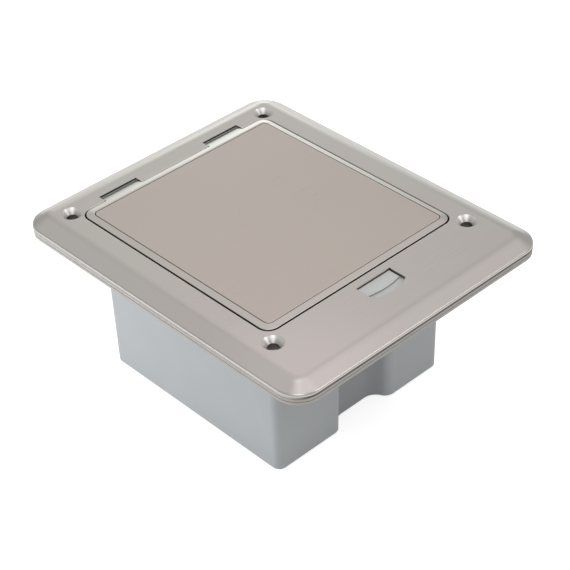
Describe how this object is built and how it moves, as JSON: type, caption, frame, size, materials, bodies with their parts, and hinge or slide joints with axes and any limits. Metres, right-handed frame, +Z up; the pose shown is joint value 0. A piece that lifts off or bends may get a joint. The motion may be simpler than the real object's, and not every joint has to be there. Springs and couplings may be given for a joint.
{
  "type": "floor socket box",
  "caption": "Flush floor socket box with a hinged metal lid in a bevelled brushed metal frame, a sliding finger latch and a moulded back box holding round power sockets.",
  "frame": {"origin": "middle of the four fixing holes, in the plane of the frame's underside, which lies on its gasket", "axes": "+Z up out of the floor, -Y towards the latch side, +Y towards the hinge side, +X to the right seen from the latch side"},
  "size_m": [0.1382, 0.1632, 0.0764],
  "materials": {
    "frame_metal": "satin brushed",
    "lid_metal": "satin brushed",
    "insert_metal": "satin brushed",
    "gasket_foam": "matte foam",
    "box_plastic": "moulded satin",
    "steel_zinc": "zinc plated",
    "brass_bright": "bright",
    "seal_rubber": "matte",
    "pin_steel": "drawn wire",
    "button_plastic": "satin",
    "housing_plastic": "moulded satin",
    "socket_plastic": "gloss",
    "base_plastic": "moulded satin",
    "clip_metal": "nickel plated"
  },
  "bodies": {
    "base": {"frame_plate": "frame_metal", "frame_gasket": "gasket_foam", "back_box": "box_plastic", "box_screws": "steel_zinc", "earth_terminal": "brass_bright", "lid_seal": "seal_rubber", "hinge_pin_left": "pin_steel", "hinge_pin_right": "pin_steel", "hinge_retainer_left": "steel_zinc", "hinge_retainer_right": "steel_zinc", "retainer_screws": "steel_zinc", "latch_housing": "housing_plastic", "latch_screws": "steel_zinc", "latch_spring": "pin_steel", "socket_plate": "steel_zinc", "plate_screws": "steel_zinc", "socket_screws": "steel_zinc", "socket_face_front": "socket_plastic", "socket_face_back": "socket_plastic", "socket_base_front": "base_plastic", "socket_base_back": "base_plastic", "earth_clip_front": "clip_metal", "earth_clip_back": "clip_metal", "line_contacts_front": "brass_bright", "line_contacts_back": "brass_bright", "terminal_screws_front": "steel_zinc", "terminal_screws_back": "steel_zinc"},
    "lid": {"lid_tray": "lid_metal", "lid_insert": "insert_metal", "lid_strike": "steel_zinc", "strike_screws": "steel_zinc"},
    "latch": {"latch_button": "button_plastic", "latch_bolt": "steel_zinc", "latch_rivets": "steel_zinc"}
  },
  "joints": [
    {"name": "lid_hinge", "type": "hinge", "parent": "base", "child": "lid", "pos_m": [0, 0.0595, 0.00325], "axis": [-1, 0, 0], "range_deg": [0, 90]},
    {"name": "latch_slide", "type": "slide", "parent": "base", "child": "latch", "axis": [0, -1, 0], "range_m": [0, 0.0025], "stiffness_N_per_m": 400, "springref_m": -0.003, "deforming": ["latch_spring"]}
  ]
}
